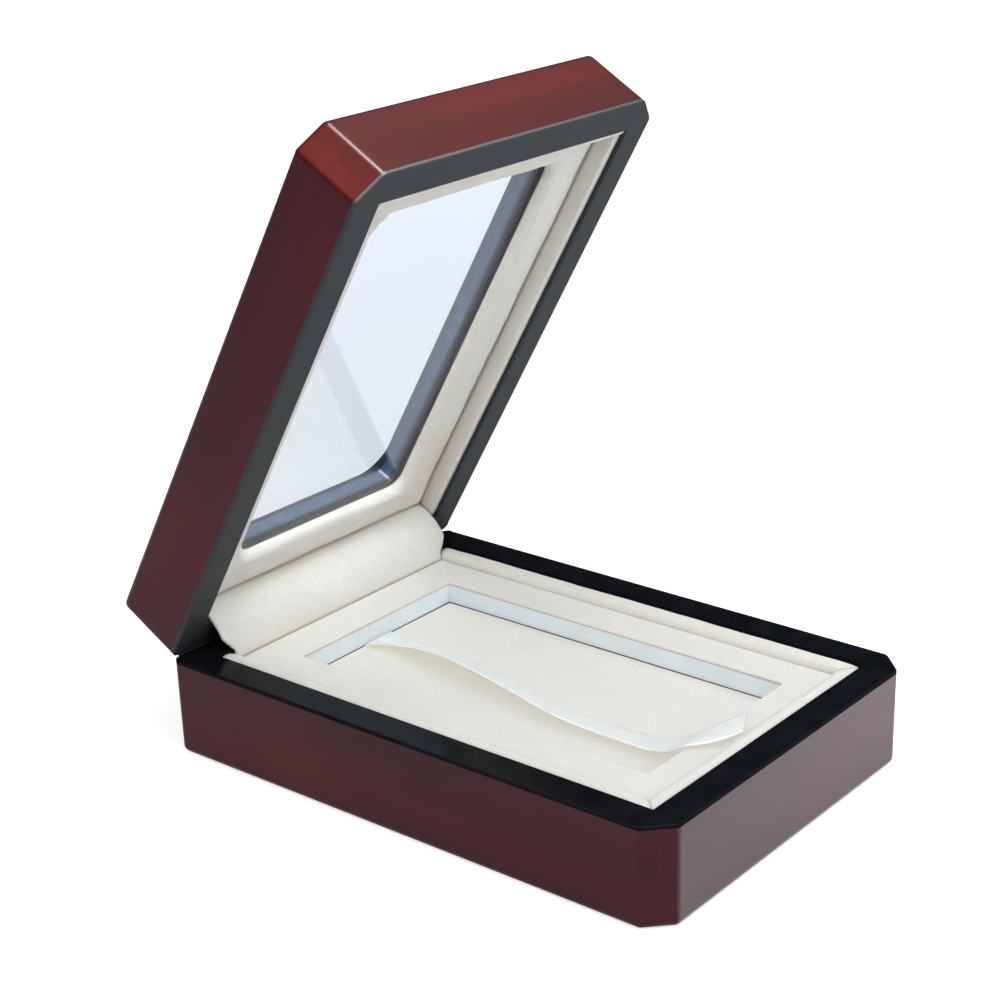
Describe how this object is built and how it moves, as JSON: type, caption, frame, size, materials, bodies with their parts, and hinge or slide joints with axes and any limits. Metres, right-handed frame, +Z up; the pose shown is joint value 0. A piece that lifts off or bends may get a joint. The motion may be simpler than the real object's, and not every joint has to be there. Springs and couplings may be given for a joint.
{
  "type": "coin case",
  "caption": "Hinged lacquered wood case for a coin holder: glazed lid on hidden friction hinges, velvet insert with a rectangular recess and a pull ribbon.",
  "frame": {"origin": "centre of the base's underside", "axes": "+X along the hinge line, -Y towards the front edge and +Y towards the hinge, +Z up"},
  "size_m": [0.106, 0.1668, 0.1655],
  "materials": {
    "lacquered_wood": "high-gloss piano lacquer over rosewood veneer",
    "black_lacquer": "black gloss lacquer",
    "cream_velvet": "short-pile velvet",
    "covered_board": "board covered in smooth pale paper",
    "satin": "satin ribbon",
    "clear_glass": "clear polished glass",
    "plated_brass": "polished plated brass",
    "fibreboard": "raw fibreboard",
    "underside_felt": "black felt"
  },
  "bodies": {
    "base": {"base_wall_front": "lacquered_wood", "base_wall_back": "lacquered_wood", "base_wall_left": "lacquered_wood", "base_wall_right": "lacquered_wood", "base_rim": "black_lacquer", "base_felt": "underside_felt", "base_panel": "fibreboard", "base_lining_front": "cream_velvet", "base_lining_left": "cream_velvet", "base_lining_right": "cream_velvet", "insert_cover": "cream_velvet", "recess_board": "cream_velvet", "hinge_cover": "cream_velvet", "insert_core": "covered_board", "pull_ribbon": "satin", "base_hinge_leaf_left": "plated_brass", "hinge_pin_left": "plated_brass", "base_hinge_leaf_right": "plated_brass", "hinge_pin_right": "plated_brass", "base_hinge_screws": "plated_brass"},
    "lid": {"lid_wall_front": "lacquered_wood", "lid_frame_front": "lacquered_wood", "lid_wall_back": "lacquered_wood", "lid_frame_back": "lacquered_wood", "lid_wall_left": "lacquered_wood", "lid_frame_left": "lacquered_wood", "lid_wall_right": "lacquered_wood", "lid_frame_right": "lacquered_wood", "lid_rim": "black_lacquer", "window_liner": "black_lacquer", "glass_spacer": "fibreboard", "lid_lining_front": "cream_velvet", "lid_lining_left": "cream_velvet", "lid_lining_right": "cream_velvet", "lid_bezel": "cream_velvet", "window_glass": "clear_glass", "lid_hinge_leaf_left": "plated_brass", "lid_hinge_leaf_right": "plated_brass", "lid_hinge_screws": "plated_brass"}
  },
  "joints": [
    {"name": "lid_hinge", "type": "hinge", "parent": "base", "child": "lid", "pos_m": [0, 0.0752, 0.0261], "axis": [1, 0, 0], "range_deg": [-12, 60], "deforming": ["hinge_cover"]}
  ]
}
